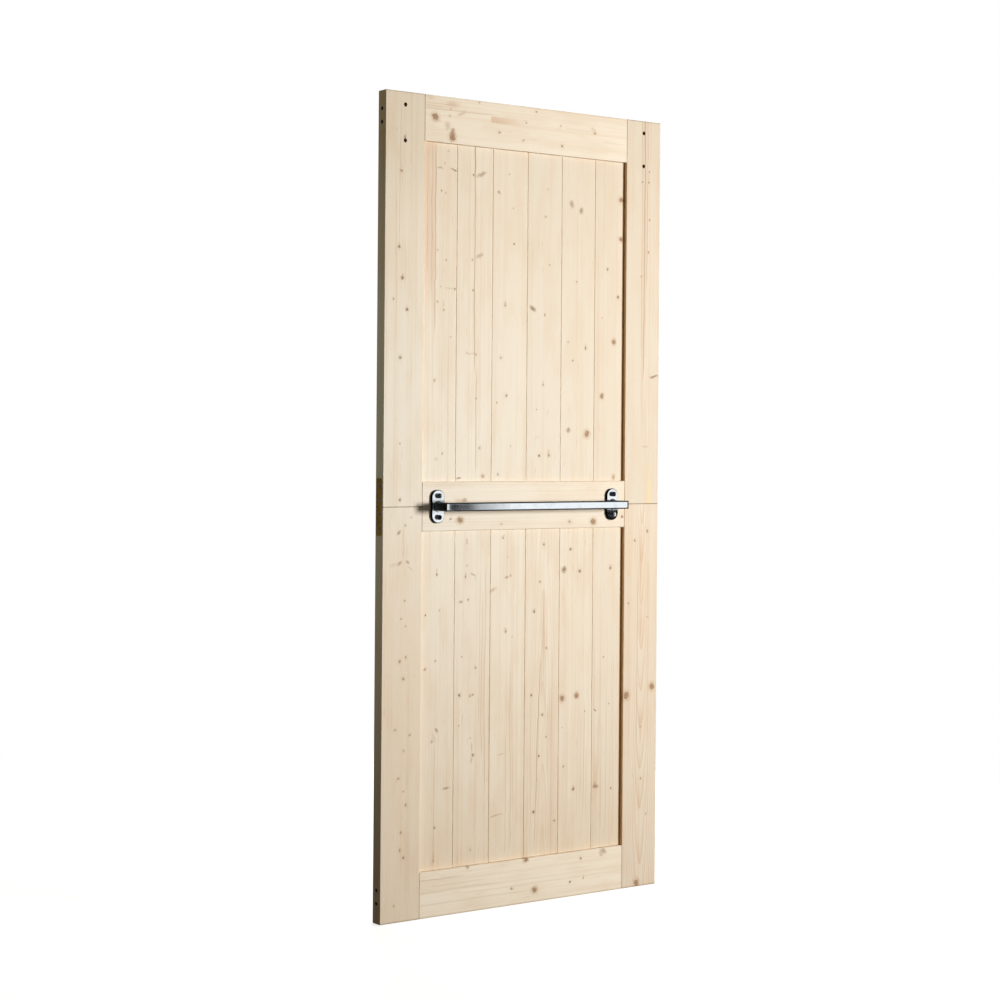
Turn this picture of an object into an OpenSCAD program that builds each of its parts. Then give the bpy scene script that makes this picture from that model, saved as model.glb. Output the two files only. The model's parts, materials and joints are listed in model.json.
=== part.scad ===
// Two-panel plank barn door with split stiles and a long bar pull.
// X runs along the width, Y through the thickness (front face towards -Y), Z up from the bottom edge.

/* [Slab] */
// Overall width of the door
door_w = 914; // [760:1:1070]
// Overall height of the door
door_h = 2134; // [1950:1:2450]
// Thickness of the stiles and rails
frame_t = 35; // [34:0.5:45]
// Bevel planed along the edges of every board
arris = 0.8; // [0.3:0.1:1.5]

/* [Stiles and rails] */
// Face width of a stile
stile_w = 120; // [100:1:145]
// Height of the top rail
top_rail_h = 120; // [105:1:180]
// Height of the middle rail
mid_rail_h = 127; // [118:1:180]
// Height of the bottom rail
bottom_rail_h = 120; // [105:1:240]
// Height at which the stile halves meet, also the middle of the middle rail
split_z = 1067; // [900:1:1250]
// Width of the groove along the inner edges of the frame
groove_w = 7; // [5:0.5:8]
// Depth of that groove
groove_d = 12; // [9:0.5:16]
// Room left between the end of a tongue and the bottom of its groove
tongue_room = 1; // [0.5:0.1:2]

/* [Planks] */
// Thickness of a plank
plank_t = 16; // [12:0.5:20]
// How far the planks' face lies behind the frame's face
panel_recess = 9.5; // [6:0.5:13]
// How much narrower the first plank of a panel is than the middle ones
first_plank_trim = 5; // [0:0.5:60]
// How much narrower the last plank of a panel is than the middle ones
last_plank_trim = 12.5; // [0:0.5:60]
// Gap between the faces of two planks, and between a plank and the frame
plank_gap = 0.8; // [0.3:0.1:2]
// Thickness of the tongue along a plank's edge
plank_tongue_t = 5; // [3:0.5:7]
// Length of that tongue
plank_tongue_l = 6; // [4:0.5:9]

/* [Hanger holes] */
// Diameter of the hanger holes
hanger_hole_d = 10; // [6:0.5:13]
// Distance of the upper hanger hole from the top of the door
hanger_hole_in = 33.5; // [25:0.5:35]
// Distance between the two holes of a hanger
hanger_pitch = 92; // [75:1:120]

/* [Rail screws] */
// Diameter of a rail screw's shank
rail_screw_d = 6; // [4:0.5:6.5]
// Length of a rail screw under its head
rail_screw_l = 120; // [100:1:140]
// Diameter of a rail screw's head
rail_screw_head_d = 9.4; // [8:0.1:9.6]
// Height of a rail screw's head
rail_screw_head_h = 5; // [3:0.5:8]
// Diameter of the sunk hole that a rail screw goes in by
sink_d = 10; // [9.6:0.1:14]
// Depth of that hole
sink_depth = 40; // [20:1:50]
// Distance between the two screws of a rail's end
rail_screw_pitch = 34; // [24:1:44]
// Distance of the top rail's screws, at their middle, from the top of the door
top_screws_in = 64; // [62:1:74]
// Distance of the bottom rail's screws, at their middle, from the bottom of the door
bottom_screws_in = 69; // [50:1:74]

/* [Joining plates] */
// Height of the plate let into a stile's outer edge
plate_h = 148; // [140:1:200]
// Width of the plate
plate_w = 24; // [20:0.5:26]
// Thickness of the plate
plate_t = 3; // [2.6:0.1:5]
// Corner radius of the plate
plate_corner_r = 5; // [2:0.5:9]
// How far the plate's face lies below the edge of the stile
plate_sink = 1.2; // [0.1:0.1:2]
// Distance of the plate from the front face of the door
plate_in = 4.5; // [3:0.5:6]
// Room left in the pocket along the plate's rear edge
plate_room = 4; // [0:0.5:5]
// Distance between the two screws nearest to the split
plate_screw_inner_pitch = 36; // [30:1:44]
// Distance between the two screws furthest from the split
plate_screw_outer_pitch = 108; // [80:1:116]
// Diameter of a plate screw's shank
plate_screw_d = 4.5; // [3:0.5:6]
// Length of a plate screw
plate_screw_l = 40; // [25:1:70]
// Diameter of a plate screw's countersunk head
plate_screw_head_d = 9; // [8:0.5:10]

/* [Handle] */
// Distance between the middles of the handle's legs
handle_span = 580; // [300:1:760]
// How far the handle's middle lies right of the door's middle
handle_shift = -1; // [-10:0.5:10]
// How far the handle stands off the face of the middle rail
handle_reach = 64; // [50:1:90]
// Height of the bar and of its legs
bar_h = 22; // [18:0.5:23]
// Thickness of the bar, front to back
bar_t = 14; // [10:0.5:20]
// Width of a leg
leg_w = 16; // [12:0.5:17]
// How far the bar runs past its legs at each end
bar_over = 5; // [0:0.5:10]
// Radius of the bar's two front corners
bar_corner_r = 5; // [2:0.5:7]
// Bevel along the edges of the bar and legs
bar_bevel = 2.5; // [0.5:0.1:3]

/* [Handle flanges] */
// Width of a flange
flange_w = 40.5; // [39:0.5:46]
// Height of a flange
flange_h = 87; // [82:0.5:98]
// Thickness of a flange
flange_t = 7; // [5:0.5:10]
// Bevel around the rim of a flange
flange_bevel = 2; // [0.5:0.1:2]
// Diameter of the collar that a leg stands on
collar_d = 27; // [26.4:0.1:29]
// Height of the collar
collar_h = 4; // [2:0.5:6]
// How much wider the collar is at its foot, on each side
collar_flare = 2.5; // [1:0.5:3]
// Distance between the two screws of a flange
flange_screw_pitch = 56; // [54:0.5:58]
// Diameter of a flange screw's shank
flange_screw_d = 8; // [5:0.5:8]
// Length of a flange screw under its head
flange_screw_l = 35; // [25:1:38]
// Diameter of a flange screw's head
flange_screw_head_d = 13; // [10:0.5:13]
// Height of a flange screw's head
flange_screw_head_h = 8; // [4:0.5:8]
// Diameter of the screw that comes through the flange into a leg
leg_screw_d = 6; // [4:0.5:8]
// Length of that screw
leg_screw_l = 30; // [24:1:36]
// Diameter of its countersunk head
leg_screw_head_d = 12; // [10:0.5:14]

/* [Hidden] */
$fn = 64;
// Clearance around a screw's shank, on the radius
screw_clear = 0.1;
// Room left beyond the tip of a screw
tip_room = 1;
// Length of a wood screw's point
point_l = 6;
// Width across the flats and depth of a hexagon socket, as shares of the head's width and height
socket_width_share = 0.46;
socket_depth_share = 0.6;
// Width and depth of the cross slots in a countersunk head, as shares of its diameter
slot_width_share = 0.11;
slot_depth_share = 0.14;
// Bevel at the front of a cap screw's head
cap_bevel = 0.8;
// Overrun of a cut past the face that it opens
over = 1;

half_w = door_w / 2;
inner_x = half_w - stile_w;
opening_w = 2 * inner_x;
front_y = -frame_t / 2;
panel_y = front_y + panel_recess + plank_t / 2;
tongue_l = groove_d - tongue_room;
plate_y = front_y + plate_in + plate_w / 2;
top_rail_z = door_h - top_rail_h;
mid_rail_z = split_z - mid_rail_h / 2;
mid_rail_top_z = split_z + mid_rail_h / 2;
plank_count = 6;
plank_pitch = (opening_w + first_plank_trim + last_plank_trim) / plank_count;
first_plank_x = -inner_x - first_plank_trim;
hanger_x = half_w - stile_w / 2;
hanger_zs = [door_h - hanger_hole_in, door_h - hanger_hole_in - hanger_pitch];
rail_screw_zs = [
    for (middle = [door_h - top_screws_in, bottom_screws_in])
        for (end = [-1, 1])
            middle + end * rail_screw_pitch / 2
];
plate_screw_zs = [
    for (pitch = [plate_screw_inner_pitch, plate_screw_outer_pitch])
        for (end = [-1, 1])
            split_z + end * pitch / 2
];
bar_l = handle_span + leg_w + 2 * bar_over;
leg_foot = flange_t + collar_h;

stile_colour = [0.93, 0.85, 0.71];
rail_colour = [0.95, 0.88, 0.75];
plank_colour = [0.94, 0.84, 0.67];
chrome_colour = [0.80, 0.82, 0.84];
plate_colour = [0.55, 0.43, 0.22];
screw_colour = [0.42, 0.42, 0.44];

// Rectangle about the origin with its corners bevelled
module bevelled_rect(w, h, bevel) {
    x = w / 2;
    y = h / 2;
    polygon([
        [-x + bevel, -y], [x - bevel, -y], [x, -y + bevel], [x, y - bevel],
        [x - bevel, y], [-x + bevel, y], [-x, y - bevel], [-x, -y + bevel]
    ]);
}

// Planed board standing on the origin, with every edge eased
module board(w, t, h) {
    intersection() {
        linear_extrude(h) bevelled_rect(w, t, arris);
        translate([0, 0, h / 2]) rotate([90, 0, 0])
            linear_extrude(t, center = true) bevelled_rect(w, h, arris);
        translate([0, 0, h / 2]) rotate([90, 0, 90])
            linear_extrude(w, center = true) bevelled_rect(t, h, arris);
    }
}

// Block from one corner to the opposite one
module block(low, high) {
    translate(low) cube(high - low);
}

// Frame at a stile's outer edge, with its local Z running into the door
module from_edge(side, y, z) {
    translate([side * half_w, y, z]) rotate([0, -side * 90, 0]) children();
}

// Frame at the foot of one leg of the handle, with its local Z running off the door's face
module from_face(side) {
    translate([handle_shift + side * handle_span / 2, front_y, split_z]) rotate([90, 0, 0]) children();
}

// Shank of a wood screw with its point, starting at the origin
module shank(d, l) {
    cylinder(d = d, h = l - point_l);
    translate([0, 0, l - point_l]) cylinder(d1 = d, d2 = 0, h = point_l);
}

// Hole for a shank, with room around it and past its end
module shank_hole(d, l) {
    translate([0, 0, -over]) cylinder(r = d / 2 + screw_clear, h = over + l + tip_room);
}

// Hexagon socket sunk from the origin towards -Z
module hex_socket(head_d, head_h) {
    depth = head_h * socket_depth_share;
    translate([0, 0, -depth])
        cylinder(d = head_d * socket_width_share / cos(30), h = depth + over, $fn = 6);
}

// Cross slots sunk from the origin towards +Z
module cross_slots(head_d) {
    w = head_d * slot_width_share;
    l = head_d / 2;
    depth = head_d * slot_depth_share;
    for (turn = [0, 90])
        rotate(turn) block([-l / 2, -w / 2, -over], [l / 2, w / 2, depth]);
}

// Countersunk wood screw with its head's face at the origin
module countersunk_screw(d, l, head_d) {
    cone_h = (head_d - d) / 2;
    difference() {
        union() {
            cylinder(d1 = head_d, d2 = d, h = cone_h);
            translate([0, 0, cone_h]) shank(d, l - cone_h);
        }
        cross_slots(head_d);
    }
}

// Countersink that seats such a screw, opening at the origin
module countersink(d, head_d) {
    cone_h = (head_d - d) / 2;
    cylinder(d1 = head_d, d2 = d, h = cone_h);
    translate([0, 0, -over]) cylinder(d = head_d, h = over);
}

// Groove along the inner edge of a stile
module stile_groove(side) {
    mirror([side < 0 ? 1 : 0, 0, 0])
        block([inner_x - over, panel_y - groove_w / 2, -over],
              [inner_x + groove_d, panel_y + groove_w / 2, door_h + over]);
}

// Groove along a rail's lower (-1) or upper (1) edge at height z
module rail_groove(z, edge) {
    reach = inner_x + tongue_l + over;
    translate([0, panel_y, z - edge * (groove_d - over) / 2])
        cube([2 * reach, groove_w, groove_d + over], center = true);
}

module hanger_holes(side) {
    for (z = hanger_zs)
        translate([side * hanger_x, 0, z]) rotate([90, 0, 0])
            cylinder(d = hanger_hole_d, h = frame_t + 2 * over, center = true);
}

module rail_screw_holes(side) {
    for (z = rail_screw_zs)
        from_edge(side, 0, z) {
            translate([0, 0, -over]) cylinder(d = sink_d, h = sink_depth + over);
            shank_hole(rail_screw_d, sink_depth + rail_screw_l);
        }
}

module plate_screw_holes(side) {
    for (z = plate_screw_zs)
        from_edge(side, plate_y, z) shank_hole(plate_screw_d, plate_sink + plate_screw_l);
}

module plate_outline() {
    x = plate_h / 2 - plate_corner_r;
    y = plate_w / 2 - plate_corner_r;
    square([plate_h, 2 * y], center = true);
    square([2 * x, plate_w], center = true);
    for (i = [-1, 1])
        for (j = [-1, 1])
            translate([i * x, j * y]) circle(r = plate_corner_r);
}

module plate_pocket(side) {
    from_edge(side, plate_y, split_z)
        translate([0, 0, -over]) linear_extrude(over + plate_sink + plate_t)
            for (shift = [0, plate_room])
                translate([0, shift]) plate_outline();
}

module flange_screw_holes() {
    for (side = [-1, 1])
        for (end = [-1, 1])
            from_face(side)
                translate([0, end * flange_screw_pitch / 2, flange_t]) mirror([0, 0, 1])
                    shank_hole(flange_screw_d, flange_screw_l);
}

module stile(side, low_z, high_z) {
    color(stile_colour)
        difference() {
            translate([side * (half_w - stile_w / 2), 0, low_z]) board(stile_w, frame_t, high_z - low_z);
            stile_groove(side);
            hanger_holes(side);
            rail_screw_holes(side);
            plate_pocket(side);
            plate_screw_holes(side);
            flange_screw_holes();
        }
}

module left_stile_upper() {
    stile(-1, split_z, door_h);
}

module left_stile_lower() {
    stile(-1, 0, split_z);
}

module right_stile_upper() {
    stile(1, split_z, door_h);
}

module right_stile_lower() {
    stile(1, 0, split_z);
}

// Rail between the stiles, with a tenon on each end
module rail_blank(z, h) {
    translate([0, 0, z]) board(opening_w, frame_t, h);
    reach = inner_x + tongue_l;
    for (side = [-1, 1])
        mirror([side < 0 ? 1 : 0, 0, 0])
            block([inner_x - groove_d, panel_y - groove_w / 2, z], [reach, panel_y + groove_w / 2, z + h]);
}

module top_rail() {
    color(rail_colour)
        difference() {
            rail_blank(top_rail_z, top_rail_h);
            rail_groove(top_rail_z, -1);
            rail_screw_holes(-1);
            rail_screw_holes(1);
        }
}

module mid_rail() {
    color(rail_colour)
        difference() {
            rail_blank(mid_rail_z, mid_rail_h);
            rail_groove(mid_rail_z, -1);
            rail_groove(mid_rail_top_z, 1);
            flange_screw_holes();
        }
}

module bottom_rail() {
    color(rail_colour)
        difference() {
            rail_blank(0, bottom_rail_h);
            rail_groove(bottom_rail_h, 1);
            rail_screw_holes(-1);
            rail_screw_holes(1);
        }
}

// Left and right limits of the face of plank i, counted from the left stile
function plank_left(i) = i == 1 ? -inner_x + plank_gap : first_plank_x + (i - 1) * plank_pitch;
function plank_right(i) = (i == plank_count ? inner_x : first_plank_x + i * plank_pitch) - plank_gap;

// Plank i of a panel that fills the opening from low_z to high_z
module plank(i, low_z, high_z) {
    left = plank_left(i);
    right = plank_right(i);
    foot = low_z + plank_gap;
    head = high_z - plank_gap;
    frame_tongue = [panel_y - groove_w / 2, panel_y + groove_w / 2];
    edge_tongue = [panel_y - plank_tongue_t / 2, panel_y + plank_tongue_t / 2];
    first = i == 1;
    last = i == plank_count;
    right_tongue = last ? frame_tongue : edge_tongue;
    right_end = last ? inner_x + tongue_l : right + plank_tongue_l;
    core = (left + right) / 2;
    color(plank_colour)
        difference() {
            union() {
                translate([core, panel_y, foot])
                    linear_extrude(head - foot) bevelled_rect(right - left, plank_t, arris);
                block(
                    [left, frame_tongue[0], low_z - tongue_l],
                    [right, frame_tongue[1], high_z + tongue_l]
                );
                block([core, right_tongue[0], foot], [right_end, right_tongue[1], head]);
                if (first)
                    block([-inner_x - tongue_l, frame_tongue[0], foot], [core, frame_tongue[1], head]);
            }
            if (!first)
                block([left - over, edge_tongue[0], foot], [left + plank_tongue_l, edge_tongue[1], head]);
        }
}

module upper_plank(i) {
    plank(i, mid_rail_top_z, top_rail_z);
}

module lower_plank(i) {
    plank(i, bottom_rail_h, mid_rail_z);
}

module joining_plate(side) {
    color(plate_colour)
        difference() {
            from_edge(side, plate_y, split_z)
                translate([0, 0, plate_sink]) linear_extrude(plate_t) plate_outline();
            plate_screw_holes(side);
            for (z = plate_screw_zs)
                from_edge(side, plate_y, z) translate([0, 0, plate_sink])
                    countersink(plate_screw_d, plate_screw_head_d);
        }
}

module left_joining_plate() {
    joining_plate(-1);
}

module right_joining_plate() {
    joining_plate(1);
}

module joining_plate_screws() {
    color(screw_colour)
        for (side = [-1, 1])
            for (z = plate_screw_zs)
                from_edge(side, plate_y, z) translate([0, 0, plate_sink])
                    countersunk_screw(plate_screw_d, plate_screw_l, plate_screw_head_d);
}

module rail_screw() {
    difference() {
        union() {
            translate([0, 0, sink_depth - rail_screw_head_h])
                cylinder(d = rail_screw_head_d, h = rail_screw_head_h);
            translate([0, 0, sink_depth]) shank(rail_screw_d, rail_screw_l);
        }
        translate([0, 0, sink_depth - rail_screw_head_h]) mirror([0, 0, 1])
            hex_socket(rail_screw_head_d, rail_screw_head_h);
    }
}

module rail_screws() {
    color(screw_colour)
        for (side = [-1, 1])
            for (z = rail_screw_zs)
                from_edge(side, 0, z) rail_screw();
}

// Outline of the bar seen from above, its front corners rounded
module bar_outline() {
    x = bar_l / 2 - bar_corner_r;
    front = handle_reach - bar_corner_r;
    back = handle_reach - bar_t;
    translate([-bar_l / 2, back]) square([bar_l, bar_t - bar_corner_r]);
    translate([-x, back]) square([2 * x, bar_t]);
    for (side = [-1, 1])
        translate([side * x, front]) circle(r = bar_corner_r);
}

module bar_front() {
    intersection() {
        rotate([90, 0, 0]) linear_extrude(bar_h, center = true) bar_outline();
        translate([0, 0, handle_reach - bar_t / 2]) rotate([90, 0, 90])
            linear_extrude(bar_l, center = true) bevelled_rect(bar_h, bar_t, bar_bevel);
    }
}

module bar_leg(side) {
    translate([side * handle_span / 2, 0, leg_foot])
        linear_extrude(handle_reach - bar_t / 2 - leg_foot) bevelled_rect(leg_w, bar_h, bar_bevel);
}

module handle_bar() {
    color(chrome_colour)
        difference() {
            translate([handle_shift, front_y, split_z]) rotate([90, 0, 0])
                intersection() {
                    union() {
                        bar_front();
                        bar_leg(-1);
                        bar_leg(1);
                    }
                    linear_extrude(handle_reach) bevelled_rect(bar_l, bar_h, bar_bevel);
                }
            leg_screw_holes(-1);
            leg_screw_holes(1);
        }
}

module leg_screw_holes(side) {
    from_face(side) shank_hole(leg_screw_d, leg_screw_l);
}

// Oval flange lying on the origin, with a bevelled rim and the collar in its middle
module flange_blank() {
    r = flange_w / 2;
    straight = flange_h - flange_w;
    rim = flange_t - flange_bevel;
    for (end = [-1, 1])
        translate([0, end * straight / 2, 0]) {
            cylinder(r = r, h = rim);
            translate([0, 0, rim]) cylinder(r1 = r, r2 = r - flange_bevel, h = flange_bevel);
        }
    rotate([90, 0, 0])
        linear_extrude(straight, center = true)
            polygon([
                [-r, 0], [r, 0], [r, rim], [r - flange_bevel, flange_t],
                [-r + flange_bevel, flange_t], [-r, rim]
            ]);
    cylinder(d1 = collar_d + 2 * collar_flare, d2 = collar_d, h = leg_foot);
}

module handle_flange(side) {
    color(chrome_colour)
        difference() {
            from_face(side) flange_blank();
            flange_screw_holes();
            leg_screw_holes(side);
            from_face(side) countersink(leg_screw_d, leg_screw_head_d);
        }
}

module left_handle_flange() {
    handle_flange(-1);
}

module right_handle_flange() {
    handle_flange(1);
}

// Cap screw with the underside of its head at the origin, its shank towards -Z
module cap_screw() {
    body_h = flange_screw_head_h - cap_bevel;
    difference() {
        union() {
            cylinder(d = flange_screw_head_d, h = body_h);
            translate([0, 0, body_h])
                cylinder(d1 = flange_screw_head_d, d2 = flange_screw_head_d - 2 * cap_bevel, h = cap_bevel);
            mirror([0, 0, 1]) shank(flange_screw_d, flange_screw_l);
        }
        translate([0, 0, flange_screw_head_h]) hex_socket(flange_screw_head_d, flange_screw_head_h);
    }
}

module handle_flange_screws() {
    color(screw_colour)
        for (side = [-1, 1])
            for (end = [-1, 1])
                from_face(side) translate([0, end * flange_screw_pitch / 2, flange_t]) cap_screw();
}

module handle_leg_screws() {
    color(screw_colour)
        for (side = [-1, 1])
            from_face(side) countersunk_screw(leg_screw_d, leg_screw_l, leg_screw_head_d);
}

left_stile_upper();
left_stile_lower();
right_stile_upper();
right_stile_lower();
top_rail();
mid_rail();
bottom_rail();
for (i = [1:plank_count]) {
    upper_plank(i);
    lower_plank(i);
}
left_joining_plate();
right_joining_plate();
joining_plate_screws();
rail_screws();
handle_bar();
left_handle_flange();
right_handle_flange();
handle_flange_screws();
handle_leg_screws();
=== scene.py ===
import json
import math

import bpy
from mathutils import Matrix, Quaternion, Vector


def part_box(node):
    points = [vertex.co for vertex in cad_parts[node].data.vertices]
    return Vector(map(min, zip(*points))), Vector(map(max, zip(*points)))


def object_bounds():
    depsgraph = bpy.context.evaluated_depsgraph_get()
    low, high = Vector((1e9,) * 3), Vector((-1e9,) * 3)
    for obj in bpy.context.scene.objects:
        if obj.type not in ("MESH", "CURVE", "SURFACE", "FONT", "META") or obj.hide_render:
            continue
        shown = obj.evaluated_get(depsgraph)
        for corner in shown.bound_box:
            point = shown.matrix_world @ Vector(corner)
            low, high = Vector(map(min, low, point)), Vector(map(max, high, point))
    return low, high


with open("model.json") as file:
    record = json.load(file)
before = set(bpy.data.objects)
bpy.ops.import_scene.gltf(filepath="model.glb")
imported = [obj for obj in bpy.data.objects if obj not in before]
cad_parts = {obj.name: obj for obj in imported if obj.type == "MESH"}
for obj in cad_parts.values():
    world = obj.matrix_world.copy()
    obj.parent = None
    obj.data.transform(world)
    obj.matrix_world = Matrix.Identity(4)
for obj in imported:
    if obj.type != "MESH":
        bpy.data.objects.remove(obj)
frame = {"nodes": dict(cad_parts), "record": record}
cadLow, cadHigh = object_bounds()
nodes = frame["nodes"]
print("frame loaded with", len(nodes), "nodes")


def operator(operation, swapped=False):
    def apply(self, other):
        pair = (other, self) if swapped else (self, other)
        return self.sheet.maths(operation, *pair)
    return apply


class Sock:  # an output socket; Python's operators on it add Math nodes
    def __init__(self, sheet, out):
        self.sheet = sheet
        self.out = out

    __add__ = operator("ADD")
    __radd__ = operator("ADD", True)
    __sub__ = operator("SUBTRACT")
    __rsub__ = operator("SUBTRACT", True)
    __mul__ = operator("MULTIPLY")
    __truediv__ = operator("DIVIDE")
    __pow__ = operator("POWER")


class Sheet:  # the node sheet of one material or of the world
    def __init__(self, owner):
        self.owner = owner
        owner.use_nodes = True
        self.tree = owner.node_tree
        self.tree.nodes.clear()

    def node(self, kind, settings=None, sockets=None, out=0):
        made = self.tree.nodes.new("ShaderNode" + kind)
        for key, value in (settings or {}).items():
            setattr(made, key, value)
        for key, value in (sockets or {}).items():
            if isinstance(value, Sock):
                self.tree.links.new(value.out, made.inputs[key])
            else:
                made.inputs[key].default_value = value
        return Sock(self, made.outputs[out]) if made.outputs else made

    def maths(self, operation, *values):
        return self.node("Math", {"operation": operation}, dict(enumerate(values)))

    def vector(self, operation, *values, out=0):
        return self.node("VectorMath", {"operation": operation}, dict(enumerate(values)), out)

    def split(self, vector):
        cut = self.node("SeparateXYZ", {}, {0: vector}).out.node
        return [Sock(self, out) for out in cut.outputs]

    def join(self, x, y, z):
        return self.node("CombineXYZ", {}, {0: x, 1: y, 2: z})

    def smooth(self, value, start, end):
        ends = {"Value": value, "From Min": start, "From Max": end}
        return self.node("MapRange", {"interpolation_type": "SMOOTHSTEP"}, ends)

    def noise(self, spot, scale, detail=2.0, rough=0.5, out=0):
        sockets = {"Vector": spot, "Scale": scale, "Detail": detail, "Roughness": rough}
        return self.node("TexNoise", {}, sockets, out)

    def mix(self, share, first, second, blend="MIX"):
        settings = {"data_type": "RGBA", "blend_type": blend}
        return self.node("Mix", settings, {0: share, 6: first, 7: second}, 2)

    def bump(self, height, strength, distance):
        return self.node("Bump", {}, {"Height": height, "Strength": strength, "Distance": distance})

    def surface(self, **sockets):
        names = {key.replace("_", " "): value for key, value in sockets.items()}
        shader = self.node("BsdfPrincipled", {}, names)
        self.node("OutputMaterial", {}, {"Surface": shader})
        return self.owner


def newSheet(name):
    return Sheet(bpy.data.materials.new(name))


def colour(rgb, level=1.0):
    return (rgb[0] * level, rgb[1] * level, rgb[2] * level, 1.0)


def dress(name, material):
    for slot in nodes[name].material_slots:
        slot.material = material


# Bare spruce. Marks are in millimetres in the door's frame: across the door, then up it.
spruceLook = dict(
    pale=(0.915, 0.803, 0.646),
    late=(0.745, 0.555, 0.360),
    heart=(0.740, 0.490, 0.315),
    line=(0.560, 0.365, 0.215),
    fleck=(0.460, 0.300, 0.170),
    halo=(0.640, 0.440, 0.270),
    eye=(0.440, 0.280, 0.165),
    core=(0.185, 0.100, 0.050),
    seam=(0.270, 0.175, 0.100),
    rightEdgeShade=(1.000, 0.800, 0.560),  # painted warm shade on the right stile's inner edge, which lies in shadow, and painted warm bounce light on the left stile's inner edge
    leftEdgeBounce=(0.940, 0.870, 0.780),
    shadowStrip=(0.850, 0.660, 0.420),  # painted warm shadow that the right stile casts on the planks' margin beside it
    shadowStripWidth=(0.005, 0.009),
    # paler side faces of the planks: painted light that lifts the shade in the seams
    plankSideLight=(1.070, 1.060, 1.020),
    paleWoodAndLight=(1.035, 1.075, 1.125),  # a painted pool of light left of the middle, partly a paler patch of the wood itself
    paleWoodAndLightPlace=(-0.36, 1.20),
    paleWoodAndLightReach=(0.10, 0.75),
    # painted shade: warmer and darker in the stiles' lower halves and at the lower planks' feet, darker at
    # the left stile's top
    footShade=(0.990, 0.955, 0.920),
    footShadeReach=(0.95, 1.06),
    plankFootShade=(0.970, 0.935, 0.890),
    plankFootShadeReach=(0.12, 0.42),
    leftTopShade=(0.935, 0.925, 0.895),
    leftTopShadeReach=(1.78, 2.00),
    rim=(0.800, 0.760, 0.700),  # painted shade: thin dark line along the door's foot and, weaker, its top
    rimReach=(0.0020, 0.0055),
    rimShadeTop=0.4,
    outer=(1.030, 1.080, 0.970),  # painted light and shade on the outer edges: paler and greener in the middle, darker at the top and foot
    outerTopShade=(0.860, 0.800, 0.620),
    outerFootShade=(0.560, 0.500, 0.410),
    outerTopReach=(1.50, 2.12),
    outerFootReach=(0.00, 0.85),
    smudge=(0.500, 0.285, 0.140),
    check=(0.370, 0.225, 0.125),
    stain=(0.950, 0.730, 0.300),
    hole=(0.240, 0.135, 0.065),
    # near black: painted shade on the walls of the sunk screws' bores
    sunk=(0.030, 0.020, 0.012),
    endGrain=(0.760, 0.620, 0.430),
    sway=9.0,  # how far the grain wanders sideways
    warp=7.0,  # how far a knot's outline strays
    knotStretch=0.88,
    boldKnot=5.5,  # knots of this radius and more show rings and a rim
    seamReach=(0.3, 1.6),
    rough=0.62,
    gloss=0.07,
)

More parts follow.
